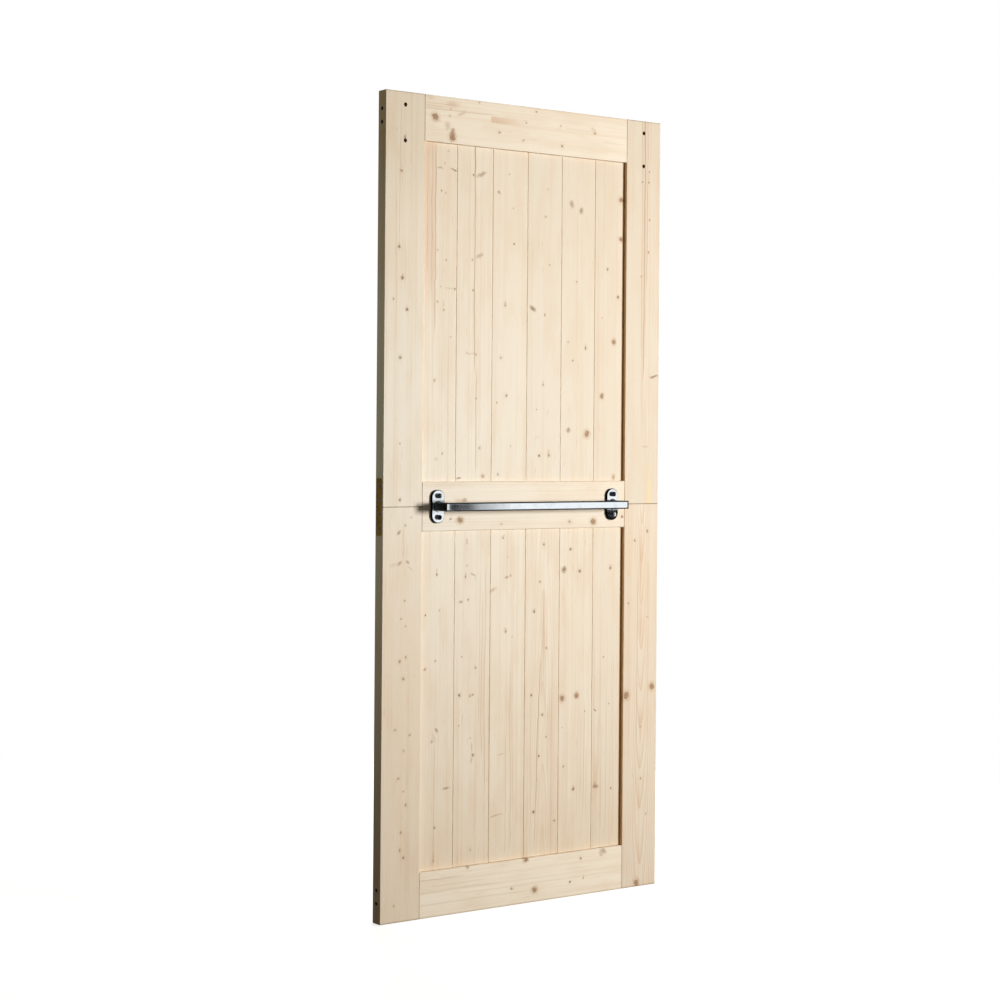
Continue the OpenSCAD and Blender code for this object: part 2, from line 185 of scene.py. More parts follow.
boards = {
    "left_stile_upper": dict(
        holes=[(-397, 2100.5), (-397, 2008.5)], sunk=[2087, 2053],
        pith=(-60, 48), tilt=0.004, ring=3.4, contrast=0.30, tone=0.985, lines=0.3,
        knots=[(-408, 1930, 4), (-414, 1735, 4.5), (-403, 1655, 5), (-388, 1575, 5),
               (-430, 1600, 3), (-408, 1450, 5), (-407, 1230, 2.5), (-406, 1085, 4)],
        smudges=[(-399, 2018, 4, 6, 0, 0.7), (-414, 1738, 3, 8, 0, 0.4), (-403, 1660, 3, 9, 0, 0.4)],
        streaks=[(-410, 1.2, 1700, 2140, 0.7), (-421, 1.2, 1480, 1900, 0.5), (-392, 1.2, 1560, 1790, 0.4)]),
    "left_stile_lower": dict(
        pith=(-10, 55), tilt=-0.006, ring=3.8, contrast=0.22, tone=0.985, lines=0.25, pins=0.25,
        sunk=[86, 52],
        knots=[(-370, 1040, 2), (-388, 1020, 3), (-388, 825, 3), (-400, 780, 2.5), (-385, 760, 2.5),
               (-384, 680, 3.5), (-402, 670, 4.5), (-391, 625, 5), (-415, 495, 3.5), (-370, 480, 3.5),
               (-389, 440, 3), (-403, 370, 3.5), (-389, 335, 2.5), (-381, 300, 4), (-395, 230, 3.5),
               (-398, 185, 4), (-387, 165, 4.5), (-415, 45, 3)],
        smudges=[(-405, 922, 10, 5, 35, 0.55), (-381, 924, 7, 4, -40, 0.55), (-408, 1001, 9, 4, 45, 0.7),
                 (-372, 908, 14, 3, -35, 0.25), (-425, 918, 14, 6, 10, 0.20)],
        streaks=[(-393, 1.4, 905, 1045, 0.7), (-385, 1.2, 905, 1000, 0.6)]),
    "right_stile_upper": dict(
        holes=[(397, 2100.5), (397, 2008.5)], sunk=[2087, 2053],
        pith=(12, 30), tilt=0.003, ring=4.2, contrast=0.34, tone=0.895, lines=0.5,
        knots=[(417, 1995, 2.5), (416, 1965, 2.5), (394, 1965, 2.5), (420, 1860, 3), (416, 1770, 3),
               (391, 1700, 3)],
        smudges=[(440, 1423, 18, 3.0, 12, 0.95), (432, 1419, 10, 2.0, -10, 0.5), (408, 1227, 13, 4, 0, 0.30)],
        streaks=[(401, 9, 1450, 2290, 0.38), (391, 1.3, 1460, 2200, 1.0), (401, 1.8, 1400, 2200, 1.7),
                 (411, 1.4, 1650, 2200, 1.2), (397, 5, 1180, 1640, 0.45)],
        stains=[(422, 9, 880, 1210, 0.60)]),
    "right_stile_lower": dict(
        pith=(3, 24), tilt=-0.030, ring=3.6, contrast=0.72, tone=0.940, crisp=3.4, late=(0.70, 0.44, 0.25),
        lines=0.5, sway=5.0, sunk=[86, 52],
        knots=[(420, 990, 4.5), (375, 965, 4), (353, 790, 3), (422, 750, 2.5), (440, 555, 7.5),
               (348, 535, 8.5), (399, 445, 3), (402, 300, 3), (422, 200, 2.5), (388, 10, 7.5)],
        streaks=[(386, 1.4, 380, 900, 0.9)],
        flames=[(397, 806, -260, 6.5, 0.85), (398, 683, -140, 5.5, 0.80), (400, 387, -140, 6.5, 0.70)]),
    "top_rail": dict(
        pith=(18, 34), tilt=0.010, ring=6.0, contrast=0.11, tone=1.035, lines=0.12, sway=26.0,
        knots=[(-305, 2078, 7.5), (-250, 2029, 7.5), (-260, 2084, 3), (-256, 2103, 2.5), (-166, 2130, 3),
               (-100, 2056, 3.5), (22, 2123, 3), (-12, 2091, 2.5), (104, 2093, 3), (222, 2084, 4),
               (-20, 2042, 3.5), (110, 2039, 4)],
        smudges=[(-251, 2037, 9, 19, 12, 0.95), (-266, 2058, 10, 13, 0, 0.40), (-250, 2116, 24, 9, 0, 0.30),
                 (-222, 2094, 16, 4, -25, 0.40), (-300, 2068, 14, 4, 0, 0.25), (-320, 2128, 14, 6, 0, 0.25),
                 (218, 2094, 12, 5, 25, 0.25)],
        streaks=[(2086, 9, -131, 10, 0.95), (2099, 1.6, -337, -90, 0.8), (2106, 1.4, -337, -240, 0.8),
                 (2114, 1.4, -337, -220, 0.5), (2062, 1.2, 250, 337, 0.5), (2086, 1.2, 120, 260, 0.35)]),
    "mid_rail": dict(
        pith=(-20, 40), tilt=0.005, ring=4.8, contrast=0.24, tone=1.005, lines=0.3, sway=18.0,
        knots=[(-217, 1030, 7), (-248, 1034, 3), (-84, 1018, 3), (145, 1021, 5), (227, 1020, 7),
               (328, 1032, 5)],
        smudges=[(-220, 1030, 15, 9, 0, 0.35), (-203, 1083, 9, 7, 0, 0.55), (-215, 1080, 24, 7, 12, 0.35),
                 (228, 1021, 12, 8, 0, 0.25)]),
    "bottom_rail": dict(
        pith=(45, 30), tilt=-0.012, ring=6.5, contrast=0.09, tone=1.09, lines=0.20, sway=34.0,
        knots=[(35, 33, 7), (192, 100, 4), (155, 40, 3.5), (202, 46, 2), (5, 117, 5.5), (-42, 45, 3)],
        smudges=[(6, 116, 10, 7, 0, 0.45), (270, 112, 13, 8, 20, 0.60), (262, 104, 9, 5, 50, 0.45),
                 (-184, 118, 8, 5, 0, 0.55), (202, 47, 1.5, 6, 0, 0.7), (-40, 44, 10, 4, 0, 0.25)],
        streaks=[(98, 1.4, -337, -190, 0.9), (66, 1.3, -337, -60, 0.7), (34, 1.3, -337, 30, 0.6),
                 (80, 1.2, -300, -100, 0.5), (52, 1.2, -200, 337, 0.4)]),
    "upper_plank_1": dict(
        pith=(-45, 50), tilt=0.003, ring=3.2, contrast=0.32, tone=0.99, lines=0.8,
        knots=[(-257, 1995, 2), (-277, 1890, 2.5), (-264, 1885, 2.5), (-288, 1735, 2), (-261, 1710, 2),
               (-278, 1640, 2.5), (-233, 1635, 2.5), (-288, 1600, 3), (-268, 1580, 3.5), (-245, 1510, 2),
               (-295, 1395, 4), (-269, 1205, 2.5), (-288, 1190, 2.5)],
        smudges=[(-282, 1949, 10, 3, 0, 0.5), (-237, 1946, 13, 3, -18, 0.85), (-267, 1962, 3, 7, 0, 0.4),
                 (-268, 1596, 3, 10, 0, 0.4), (-250, 1636, 18, 3, 0, 0.25)],
        streaks=[(-315, 20, 1560, 2180, 0.52), (-322, 12, 1150, 1700, 0.25),
                 (-295, 1.6, 1500, 2030, 1.2), (-306, 1.2, 1600, 2030, 0.9),
                 (-320, 1.2, 1650, 2030, 0.9), (-331, 1.2, 1700, 2030, 0.8)]),
    "upper_plank_2": dict(
        pith=(10, 9), tilt=0.0, ring=3.4, contrast=0.24, tone=0.985, lines=0.3,
        knots=[(-175, 1938, 3), (-177, 1715, 3), (-174, 1635, 3), (-164, 1465, 2.5), (-193, 1470, 2.5),
               (-162, 1350, 3), (-151, 1220, 4.5), (-139, 1145, 5)],
        smudges=[(-216, 1140, 9, 3, 4, 0.9), (-150, 1942, 18, 6, 22, 0.60), (-153, 1727, 14, 6, 28, 0.50),
                 (-180, 1468, 22, 3, 5, 0.25), (-139, 1146, 8, 6, 0, 0.35)],
        streaks=[(-171, 2.0, 1905, 2110, 2.4), (-169, 1.6, 1400, 1960, 1.6), (-163, 1.4, 1130, 1440, 1.1)]),
    "upper_plank_3": dict(
        pith=(20, 70), tilt=0.002, ring=3.0, contrast=0.30, tone=0.98, lines=0.2,
        knots=[(-94, 1900, 3), (-58, 1950, 2), (-45, 1860, 2), (-42, 1765, 3), (-70, 1600, 4),
               (-83, 1460, 4.5), (-64, 1360, 4), (-95, 1340, 2.5), (-90, 1150, 4), (-49, 1225, 2)],
        smudges=[(-70, 1606, 3, 10, 0, 0.4), (-92, 1898, 9, 3, -15, 0.4)]),
    "upper_plank_4": dict(
        pith=(-30, 64), tilt=-0.004, ring=3.6, contrast=0.22, tone=0.945, lines=0.15,
        knots=[(63, 1845, 3), (71, 1920, 2), (78, 1715, 2), (63, 1580, 3), (36, 1325, 2), (47, 1200, 4.5),
               (79, 1200, 4.5), (59, 1390, 2.5)],
        smudges=[(22, 1595, 12, 6, -32, 0.95), (59, 1395, 4, 9, 0, 0.25), (79, 1206, 4, 12, 0, 0.4),
                 (38, 1250, 12, 3, 40, 0.2)]),
    "upper_plank_5": dict(
        pith=(0, 58), tilt=0.006, ring=3.8, contrast=0.24, tone=0.94, lines=0.2,
        knots=[(171, 1675, 3), (143, 1510, 3), (203, 1495, 4), (159, 1460, 3), (210, 1260, 7.5)],
        smudges=[(152, 1886, 9, 12, 20, 0.60), (185, 1870, 7, 9, 0, 0.75), (146, 1270, 8, 8, 0, 0.75),
                 (203, 1500, 3, 9, 0, 0.4)]),
    "upper_plank_6": dict(
        pith=(25, 52), tilt=0.005, ring=3.4, contrast=0.24, tone=0.925, lines=0.35,
        knots=[(324, 1910, 6), (325, 1800, 5.5), (278, 1715, 4), (315, 1640, 4.5), (302, 1515, 5.5),
               (261, 1580, 2.5), (261, 1365, 5.5), (304, 1140, 5)],
        smudges=[(302, 1520, 5, 12, 0, 0.35), (304, 1142, 7, 10, 0, 0.45), (315, 1640, 6, 6, 0, 0.4)]),
    "lower_plank_1": dict(
        pith=(0, 30), tilt=0.006, ring=4.0, contrast=0.18, tone=1.0, lines=0.25,
        knots=[(-283, 890, 3), (-274, 795, 2.5), (-318, 785, 2.5), (-286, 665, 2.5), (-317, 645, 2.5),
               (-295, 455, 3.5), (-285, 230, 3), (-287, 145, 2)],
        smudges=[(-283, 897, 3, 10, 0, 0.4), (-281, 483, 3.6, 9, 25, 0.70), (-290, 466, 4, 14, 20, 0.25),
                 (-249, 330, 12, 3.5, 4, 0.65), (-289, 150, 3, 18, -8, 0.35), (-318, 645, 8, 3, 30, 0.4)],
        streaks=[(-288, 1.3, 110, 470, 0.9), (-291, 5, 950, 1000, 0.3)]),
    "lower_plank_2": dict(
        pith=(35, 60), tilt=0.004, ring=3.4, contrast=0.20, tone=0.99, lines=0.5,
        knots=[(-188, 970, 2.5), (-187, 910, 2.5), (-192, 880, 3), (-183, 820, 3), (-202, 670, 2),
               (-158, 640, 3.5), (-209, 570, 4.5), (-175, 565, 2.5), (-166, 570, 2.5), (-210, 490, 2),
               (-173, 455, 2), (-170, 160, 3)],
        smudges=[(-168, 886, 10, 3, -25, 0.55), (-207, 815, 7, 4, 0, 0.7), (-192, 884, 2.5, 9, 0, 0.5),
                 (-188, 974, 2, 9, 0, 0.5), (-164, 410, 5, 6, 30, 0.85), (-169, 398, 4, 10, -15, 0.4),
                 (-168, 430, 2.5, 16, 0, 0.45), (-170, 568, 10, 3, 0, 0.4)],
        streaks=[(-127, 1.3, 300, 930, 0.8), (-136, 1.3, 380, 860, 0.8), (-144, 1.2, 450, 900, 0.6),
                 (-134, 11, 420, 760, 0.30)]),
    "lower_plank_3": dict(
        pith=(4, 24), tilt=0.004, ring=4.0, contrast=0.22, tone=1.0, lines=0.35,
        knots=[(-70, 980, 2.5), (-55, 930, 2), (-59, 875, 3.5), (-45, 880, 2.5), (-61, 730, 3.5),
               (-39, 715, 2)],
        smudges=[(-88, 243, 25, 2.0, 8, 0.48), (-103, 843, 14, 5, 25, 0.45), (-74, 404, 14, 2, 8, 0.40),
                 (-72, 984, 10, 3, 30, 0.4), (-61, 736, 5, 7, 30, 0.4), (-55, 876, 14, 3, 10, 0.3)],
        streaks=[(-48, 10, 380, 660, 0.30), (-42, 1.4, 130, 660, 0.8), (-57, 1.2, 110, 480, 0.8),
                 (-36, 1.2, 250, 640, 0.5)]),
    "lower_plank_4": dict(
        pith=(2, 26), tilt=0.020, ring=4.4, contrast=0.36, tone=0.99, crisp=4.0, late=(0.70, 0.44, 0.25),
        lines=0.8, sway=5.0, pins=0.8,
        knots=[(65, 960, 3.5), (54, 860, 3), (34, 780, 3.5), (27, 555, 3.5), (64, 500, 3.5), (78, 440, 3),
               (53, 390, 3.5), (37, 240, 4.5), (107, 210, 3), (76, 680, 2.5)],
        smudges=[(34, 784, 5, 6, 35, 0.4)],
        flames=[(67, 850, 330, 5.0, 1.0)],
        streaks=[(50, 1.3, 225, 680, 1.6, 0.034), (41, 1.3, 120, 300, 0.8), (97, 14, 60, 640, 0.22),
                 (60, 1.2, 520, 790, 0.8), (75, 1.2, 480, 760, 0.8), (84, 1.2, 300, 560, 0.6),
                 (96, 1.2, 150, 700, 0.5), (26, 1.2, 130, 600, 0.4)]),
    "lower_plank_5": dict(
        pith=(-20, 62), tilt=0.005, ring=3.4, contrast=0.26, tone=0.985, lines=0.7, pins=0.55,
        knots=[(157, 945, 4.5), (189, 885, 5), (131, 540, 6.5), (181, 545, 6), (132, 460, 2), (137, 355, 3),
               (172, 290, 5.4), (211, 500, 2)],
        smudges=[(134, 890, 10, 10, 0, 0.85), (134, 890, 4.5, 4.5, 0, 0.8), (172, 292, 4, 10, 0, 0.45),
                 (181, 548, 6, 10, 0, 0.35)],
        streaks=[(208, 1.3, 200, 540, 0.9), (197, 1.2, 230, 520, 0.7), (186, 1.2, 180, 480, 0.5),
                 (216, 1.2, 180, 420, 0.6), (165, 1.2, 110, 300, 0.4)]),
    "lower_plank_6": dict(
        pith=(15, 48), tilt=0.006, ring=3.2, contrast=0.32, tone=0.95, lines=0.8, pins=0.6,
        knots=[(296, 890, 4.5), (274, 645, 2.5), (295, 515, 2), (303, 280, 3.5)],
        smudges=[(245, 500, 6, 2.5, -45, 1.0), (249, 290, 12, 6, 0, 0.75), (246, 297, 6, 10, 0, 0.45),
                 (296, 892, 5, 9, 0, 0.35)],
        streaks=[(250, 6, 200, 420, 0.85), (257, 1.2, 290, 520, 0.7), (268, 1.2, 150, 480, 0.5),
                 (285, 1.2, 130, 560, 0.5), (310, 1.2, 120, 700, 0.5), (252, 1.2, 120, 280, 0.5)]),
}

# Fields of noise in a board: scale across, through and along it per millimetre, then detail and roughness
grainFields = dict(
    rugged=((0.22, 0.22, 0.22), 3.0, 0.5),
    mood=((0.019, 0.019, 0.019), 1.0, 0.5),
    knotRim=((0.11, 0.11, 0.11), 1.0, 0.5),
    sway=((0.014, 0.014, 0.00224), 2.0, 0.5),
    band=((0.075, 0.075, 0.0011), 3.0, 0.6),
    fibre=((0.80, 0.80, 0.012), 4.0, 0.65),
    fleck=((0.30, 0.30, 0.022), 1.0, 0.5),
    patch=((0.022, 0.022, 0.0060), 3.0, 0.5),
    wander=((0.004, 0.004, 0.030), 2.0, 0.5),
    lines=((0.15, 0.15, 0.0010), 2.0, 0.5),
)

# How the wood is drawn: a reach is where a mark starts and ends, a share how strongly it is laid on,
# and a ramp the gain and base by which a field scales it
pattern = dict(
    seedSteps=(37.0, 11.0, 53.0), strayScale=0.13,
    pinRugged=0.8, boldRugged=0.5, bendReach=(0.6, 2.8), haloReach=(0.7, 2.5), boldBend=2,
    swayYears=4.0, bendYears=2.0, crisp=2.6, lateRamp=(1.5, 0.05),
    bandReach=(0.45, 0.75), bandShare=0.27, bandLevel=1.08,
    patchReach=(0.42, 0.70), patchShare=0.24, patchLevel=1.05,
    lineDrift=5.0, lineReach=(0.54, 0.66), lineRamp=(1.1, -0.2),
    fibreReach=(0.50, 0.82), fibreShare=0.34, fleckReach=(0.70, 0.80), fleckShare=0.25,
    streakSway=14.0, streakWander=5.0, streakReach=(0.55, 1.35), streakRamp=(1.1, 0.2),
    wideStreak=2, wideTone=("heart", 1.0, 150), fineTone=("line", 0.62, 60), railFade=8,
    flameWander=3.0, flameSpread=2.5, flameLeast=0.01, flameRamp=(0.8, 0.3),
    flameSide=(0.55, 1.15), flameTip=(0.0, 0.03), flameFoot=(0.25, 1.0),
    smudgeRugged=0.9, smudgeReach=(0.2, 1.35), checkStrength=0.5,
    moodReach=(0.30, 0.70), moodShare=0.25,
    pinEyeReach=(0.35, 1.15), pinEyeMood=(0.6, 0.4), pinEyeShare=0.85, pinHaloRamp=(0.30, 0.04),
    pinCoreRugged=2.0, pinCoreReach=(0.15, 0.90), pinCoreMood=(0.7, 0.3), pinCoreShare=0.70,
    eyeReach=(0.75, 1.12), eyeShare=0.80, eyeLevel=1.05, boldHaloRamp=(0.45, 0.05),
    knotRimStart=(0.62, 0.92), knotRimEnd=(0.95, 1.25), knotRimGaps=(0.40, 0.62), knotRimShare=0.55,
    ringCount=3.2, ringReach=(0.45, 0.95), ringShare=0.30,
    heartRugged=1.2, heartReach=(0.05, 0.50), heartShare=0.45,
    holeRadius=5.0, holeReach=(0.96, 1.04), endReach=(0.75, 0.95), endShare=0.8,
    sunkReach=(0.0053, 0.0060), sunkFacing=(0.3, 0.6),
    rightFootShade=0.3, outwardReach=(0.5, 0.8), edgeReach=(0.3, 0.7), seamShare=0.85,
    fibreRough=0.14, eyeRough=0.18, bump=(0.22, 0.0003), bumpFibre=0.7, bumpLate=0.3, bumpEye=0.6,
)
toMm = 1000.0
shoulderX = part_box("right_stile_upper")[0].x  # where the rails meet the stiles


def ramp(value, gainAndBase):
    gain, base = gainAndBase
    return value * gain + base


def nearest(sheet, spot, marks):  # the least of the marks' own distances, each 1 at the mark's edge
    near = None
    for across, along, radius in marks:
        fit = (1 / radius, 0, spruceLook["knotStretch"] / radius)
        away = sheet.vector("MULTIPLY_ADD", spot, fit, (-across * fit[0], 0, -along * fit[2]))
        reach = sheet.vector("LENGTH", away, out=1)
        near = reach if near is None else sheet.maths("MINIMUM", near, reach)
    return near


class Board:  # one board's node sheet, its places in millimetres from its own middle, and its colour so far
    def __init__(self, name, look, seed):
        self.name = name
        self.look = look
        self.sheet = newSheet("spruce " + name)
        self.low, self.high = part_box(name)
        self.middle = (self.low + self.high) / 2
        self.alongX = name.endswith("rail")
        self.centre = self.turned(self.middle.x * toMm, self.middle.z * toMm)
        self.x, self.y, self.z = self.sheet.split(self.sheet.node("TexCoord", out="Object"))
        self.facing = self.sheet.split(self.sheet.node("NewGeometry", out="Normal"))
        across, along = self.turned(self.x, self.z)
        self.across = across * toMm - self.centre[0]
        self.along = along * toMm - self.centre[1]
        self.depth = (self.y - cadLow.y) * toMm
        self.spot = self.sheet.join(self.across, self.depth, self.along)
        steps = [seed * step for step in pattern["seedSteps"]]  # no two boards get the same noise
        self.shifted = self.sheet.vector("ADD", self.spot, steps)
        cloud = self.sheet.noise(self.shifted, pattern["strayScale"], out="Color")
        self.stray = self.sheet.vector("SUBTRACT", cloud, (0.5, 0.5, 0.5))
        warp = (spruceLook["warp"], 0, spruceLook["warp"])
        self.strayed = self.sheet.vector("MULTIPLY_ADD", self.stray, warp, self.spot)
        self.rugged = self.field("rugged") - 0.5
        self.sway = self.field("sway") - 0.5
        self.wander = self.field("wander") - 0.5
        self.fibre = self.field("fibre")

    def turned(self, x, z):  # across the board, then along it
        return (z, x) if self.alongX else (x, z)

    def local(self, markX, markZ):
        across, along = self.turned(markX, markZ)
        return across - self.centre[0], along - self.centre[1]

    def field(self, kind, source=None):
        scale, detail, rough = grainFields[kind]
        spread = self.sheet.vector("MULTIPLY", source or self.shifted, scale)
        return self.sheet.noise(spread, 1.0, detail, rough)

    def above(self, value, reach):  # 0 before the reach, 1 past it
        return self.sheet.smooth(value, *reach)

    def below(self, value, reach):
        return 1 - self.sheet.smooth(value, *reach)

    def size(self, value):
        return self.sheet.maths("ABSOLUTE", value)

    def lay(self, share, tone, level=1.0):
        self.wood = self.sheet.mix(share, self.wood, colour(spruceLook[tone], level))

    def tint(self, share, tone):
        self.wood = self.sheet.mix(share, self.wood, colour(spruceLook[tone]), "MULTIPLY")


def findKnots(board):
    knots = [(*board.local(*mark[:2]), mark[2]) for mark in board.look["knots"]]
    pins = [knot for knot in knots if knot[2] < spruceLook["boldKnot"]]
    bold = [knot for knot in knots if knot[2] >= spruceLook["boldKnot"]]
    board.pinned = nearest(board.sheet, board.strayed, pins) + board.rugged * pattern["pinRugged"]
    board.bend = board.below(board.pinned, pattern["bendReach"])
    board.knotted = None
    if bold:
        board.knotted = nearest(board.sheet, board.strayed, bold) + board.rugged * pattern["boldRugged"]
        board.halo = board.below(board.knotted, pattern["haloReach"])
        board.bend = board.bend + board.halo * pattern["boldBend"]


def yearRings(board):  # round a pith line that leans and wanders a little, bent by the knots
    look = board.look
    pithAcross, pithDepth = look["pith"]
    side = board.across - pithAcross + board.sway * look.get("sway", spruceLook["sway"])
    deep = board.depth - pithDepth + board.along * look["tilt"]
    radius = board.sheet.maths("SQRT", side * side + deep * deep)
    years = (radius + board.sway * pattern["swayYears"] + board.bend * pattern["bendYears"]) / look["ring"]
    return board.sheet.maths("FRACT", years) ** look.get("crisp", pattern["crisp"])


def layGrain(board):
    look = board.look
    board.late = yearRings(board)
    band = board.field("band")
    patch = board.field("patch")
    fleck = board.field("fleck")
    drift = board.sheet.vector("MULTIPLY_ADD", board.stray, (pattern["lineDrift"], 0, 0), board.shifted)
    lines = board.above(board.field("lines", drift), pattern["lineReach"])
    lateShare = board.late * look["contrast"] * ramp(band, pattern["lateRamp"])
    pale = colour(spruceLook["pale"], look["tone"])
    board.wood = board.sheet.mix(lateShare, pale, colour(look.get("late", spruceLook["late"])))
    bandShare = board.above(band, pattern["bandReach"]) * pattern["bandShare"]
    board.lay(bandShare, "late", pattern["bandLevel"])
    patchShare = board.above(patch, pattern["patchReach"]) * pattern["patchShare"]
    board.lay(patchShare, "late", pattern["patchLevel"])
    board.lay(lines * ramp(patch, pattern["lineRamp"]) * look["lines"], "heart")
    board.lay(board.above(board.fibre, pattern["fibreReach"]) * pattern["fibreShare"], "late")
    board.lay(board.above(fleck, pattern["fleckReach"]) * pattern["fleckShare"], "fleck")


def layStreaks(board):
    acrossMiddle, alongMiddle = board.centre
    marks = [(*mark, None) for mark in board.look.get("streaks", [])]
    marks += [(*mark, "stain") for mark in board.look.get("stains", [])]
    wavy = board.across + board.sway * pattern["streakSway"] + board.wander * pattern["streakWander"]
    for centre, half, start, end, strength, *lean, stain in marks:
        line = centre - acrossMiddle
        if lean:  # how far it goes aside for each millimetre along
            line = (board.along - (start + end) / 2 + alongMiddle) * lean[0] + line
        off = board.size(wavy - line) / half
        tone, level, fade = pattern["wideTone" if half > pattern["wideStreak"] else "fineTone"]
        fade = min(fade, end - start)
        startFade = pattern["railFade"] if board.alongX else fade
        first = start - alongMiddle
        last = end - alongMiddle
        ends = board.above(board.along, (first, first + startFade))
        ends = ends * board.below(board.along, (last - fade, last))
        share = board.below(off, pattern["streakReach"]) * ends * ramp(board.fibre, pattern["streakRamp"])
        board.lay(share * strength * level, stain or tone)


def layFlames(board):  # pointed arches of heartwood
    sheet = board.sheet
    for centre, tip, length, half, strength in board.look.get("flames", []):
        down = (tip - board.centre[1] - board.along) / length
        spread = sheet.maths("MAXIMUM", down * pattern["flameSpread"], pattern["flameLeast"])
        wide = sheet.maths("MINIMUM", spread, 1.0) * half
        wavy = board.across + board.wander * pattern["flameWander"]
        off = board.size(wavy - (centre - board.centre[0])) / wide
        share = board.below(off, pattern["flameSide"]) * board.above(down, pattern["flameTip"])
        share = share * board.below(down, pattern["flameFoot"]) * ramp(board.fibre, pattern["flameRamp"])
        board.lay(share * strength, "heart")


def laySmudges(board):  # soft smudges, and dark checks where the mark is strong
    sheet = board.sheet
    for markX, markZ, half, thick, tilt, strength in board.look.get("smudges", []):
        across, along = board.local(markX, markZ)
        turn = {0: board.strayed, 1: (across, 0, along), "Angle": math.radians(tilt)}
        spun = sheet.node("VectorRotate", {"rotation_type": "Y_AXIS"}, turn)
        wide, tall = board.turned(half, thick)
        away = sheet.vector("MULTIPLY_ADD", spun, (1 / wide, 0, 1 / tall), (-across / wide, 0, -along / tall))
        reach = sheet.vector("LENGTH", away, out=1) + board.rugged * pattern["smudgeRugged"]
        tone = "smudge" if strength < pattern["checkStrength"] else "check"
        board.lay(board.below(reach, pattern["smudgeReach"]) * strength, tone)


def layPinKnots(board):
    mood = board.above(board.field("mood"), pattern["moodReach"])  # some are dark, others faint
    if "pins" in board.look:
        mood = mood * pattern["moodShare"] + board.look["pins"]
    inner = board.pinned - board.rugged * pattern["pinCoreRugged"]
    core = board.below(inner, pattern["pinCoreReach"]) * ramp(mood, pattern["pinCoreMood"])
    board.eye = board.below(board.pinned, pattern["pinEyeReach"]) * ramp(mood, pattern["pinEyeMood"])
    board.lay(board.bend * ramp(board.fibre, pattern["pinHaloRamp"]), "halo")
    board.lay(board.eye * pattern["pinEyeShare"], "eye")
    board.lay(core * pattern["pinCoreShare"], "core")


def layBoldKnots(board):
    knotted = board.knotted
    board.eye = board.below(knotted, pattern["eyeReach"])
    rim = board.above(knotted, pattern["knotRimStart"]) * board.below(knotted, pattern["knotRimEnd"])
    rim = rim * board.above(board.field("knotRim"), pattern["knotRimGaps"])
    turns = board.sheet.maths("FRACT", knotted * pattern["ringCount"])
    rings = board.above(turns, pattern["ringReach"]) * board.eye
    heart = board.below(knotted - board.rugged * pattern["heartRugged"], pattern["heartReach"])
    board.lay(board.halo * ramp(board.fibre, pattern["boldHaloRamp"]), "halo")
    board.lay(board.eye * pattern["eyeShare"], "eye", pattern["eyeLevel"])
    dark = rings * pattern["ringShare"] + rim * pattern["knotRimShare"] + heart * pattern["heartShare"]
    board.lay(dark, "core")


# a painted pool of light round a place left of the middle, partly paler wood
def layPaleWoodAndLight(board):
    poolX, poolZ = spruceLook["paleWoodAndLightPlace"]
    away = board.sheet.join(board.x - poolX, 0, board.z - poolZ)
    away = board.sheet.vector("LENGTH", away, out=1)
    board.tint(board.below(away, spruceLook["paleWoodAndLightReach"]), "paleWoodAndLight")


def layBores(board):  # hanger holes, sawn ends, and painted shade on the walls of the sunk screws' bores
    sheet = board.sheet
    if "holes" in board.look:
        holes = [(*board.local(*hole), pattern["holeRadius"]) for hole in board.look["holes"]]
        board.lay(board.below(nearest(sheet, board.spot, holes), pattern["holeReach"]), "hole")
    board.endways = board.above(board.size(board.facing[0 if board.alongX else 2]), pattern["endReach"])
    board.tint(board.endways * pattern["endShare"], "endGrain")
    for bore in board.look.get("sunk", []):
        reach = sheet.vector("LENGTH", sheet.join(0, board.y, board.z - bore / toMm), out=1)
        shadedWall = board.below(reach, pattern["sunkReach"])
        board.lay(shadedWall * board.below(board.size(board.facing[0]), pattern["sunkFacing"]), "sunk")


def layStileTints(board):
    onLeft = board.middle.x < 0
    inward = board.facing[0] if onLeft else board.facing[0] * -1
    # painted shade, darker towards the bottom of the stiles
    shadedLow = board.below(board.z, spruceLook["footShadeReach"])
    board.tint(shadedLow * (1 if onLeft else pattern["rightFootShade"]), "footShade")
    # painted shade at the top of the left stile
    if onLeft:
        board.tint(board.above(board.z, spruceLook["leftTopShadeReach"]), "leftTopShade")
    # painted light and shade on the stiles' outer edges
    footward = board.below(board.z, spruceLook["outerFootReach"])
    topward = board.above(board.z, spruceLook["outerTopReach"])
    outer = board.sheet.mix(footward, colour(spruceLook["outer"]), colour(spruceLook["outerFootShade"]))
    outer = board.sheet.mix(topward, outer, colour(spruceLook["outerTopShade"]))
    outward = board.above(0 - inward, pattern["outwardReach"])
    board.wood = board.sheet.mix(outward, board.wood, outer, "MULTIPLY")
    # painted warm shade on the right stile's inner edge, painted warm bounce light on the left stile's inner
    # edge
    board.tint(board.above(inward, pattern["edgeReach"]), "leftEdgeBounce" if onLeft else "rightEdgeShade")


def layPlankTints(board):
    # painted light on the planks' side faces, lifting the shade in the seams
    board.tint(board.above(board.size(board.facing[0]), pattern["edgeReach"]), "plankSideLight")
    # painted shadow of the right stile on plank 6's margin
    if board.name.endswith("plank_6"):
        near, far = spruceLook["shadowStripWidth"]
        board.tint(board.above(board.x, (shoulderX - far, shoulderX - near)), "shadowStrip")
    # painted shade at the lower planks' feet
    if board.name.startswith("lower_plank"):
        board.tint(board.below(board.z, spruceLook["plankFootShadeReach"]), "plankFootShade")


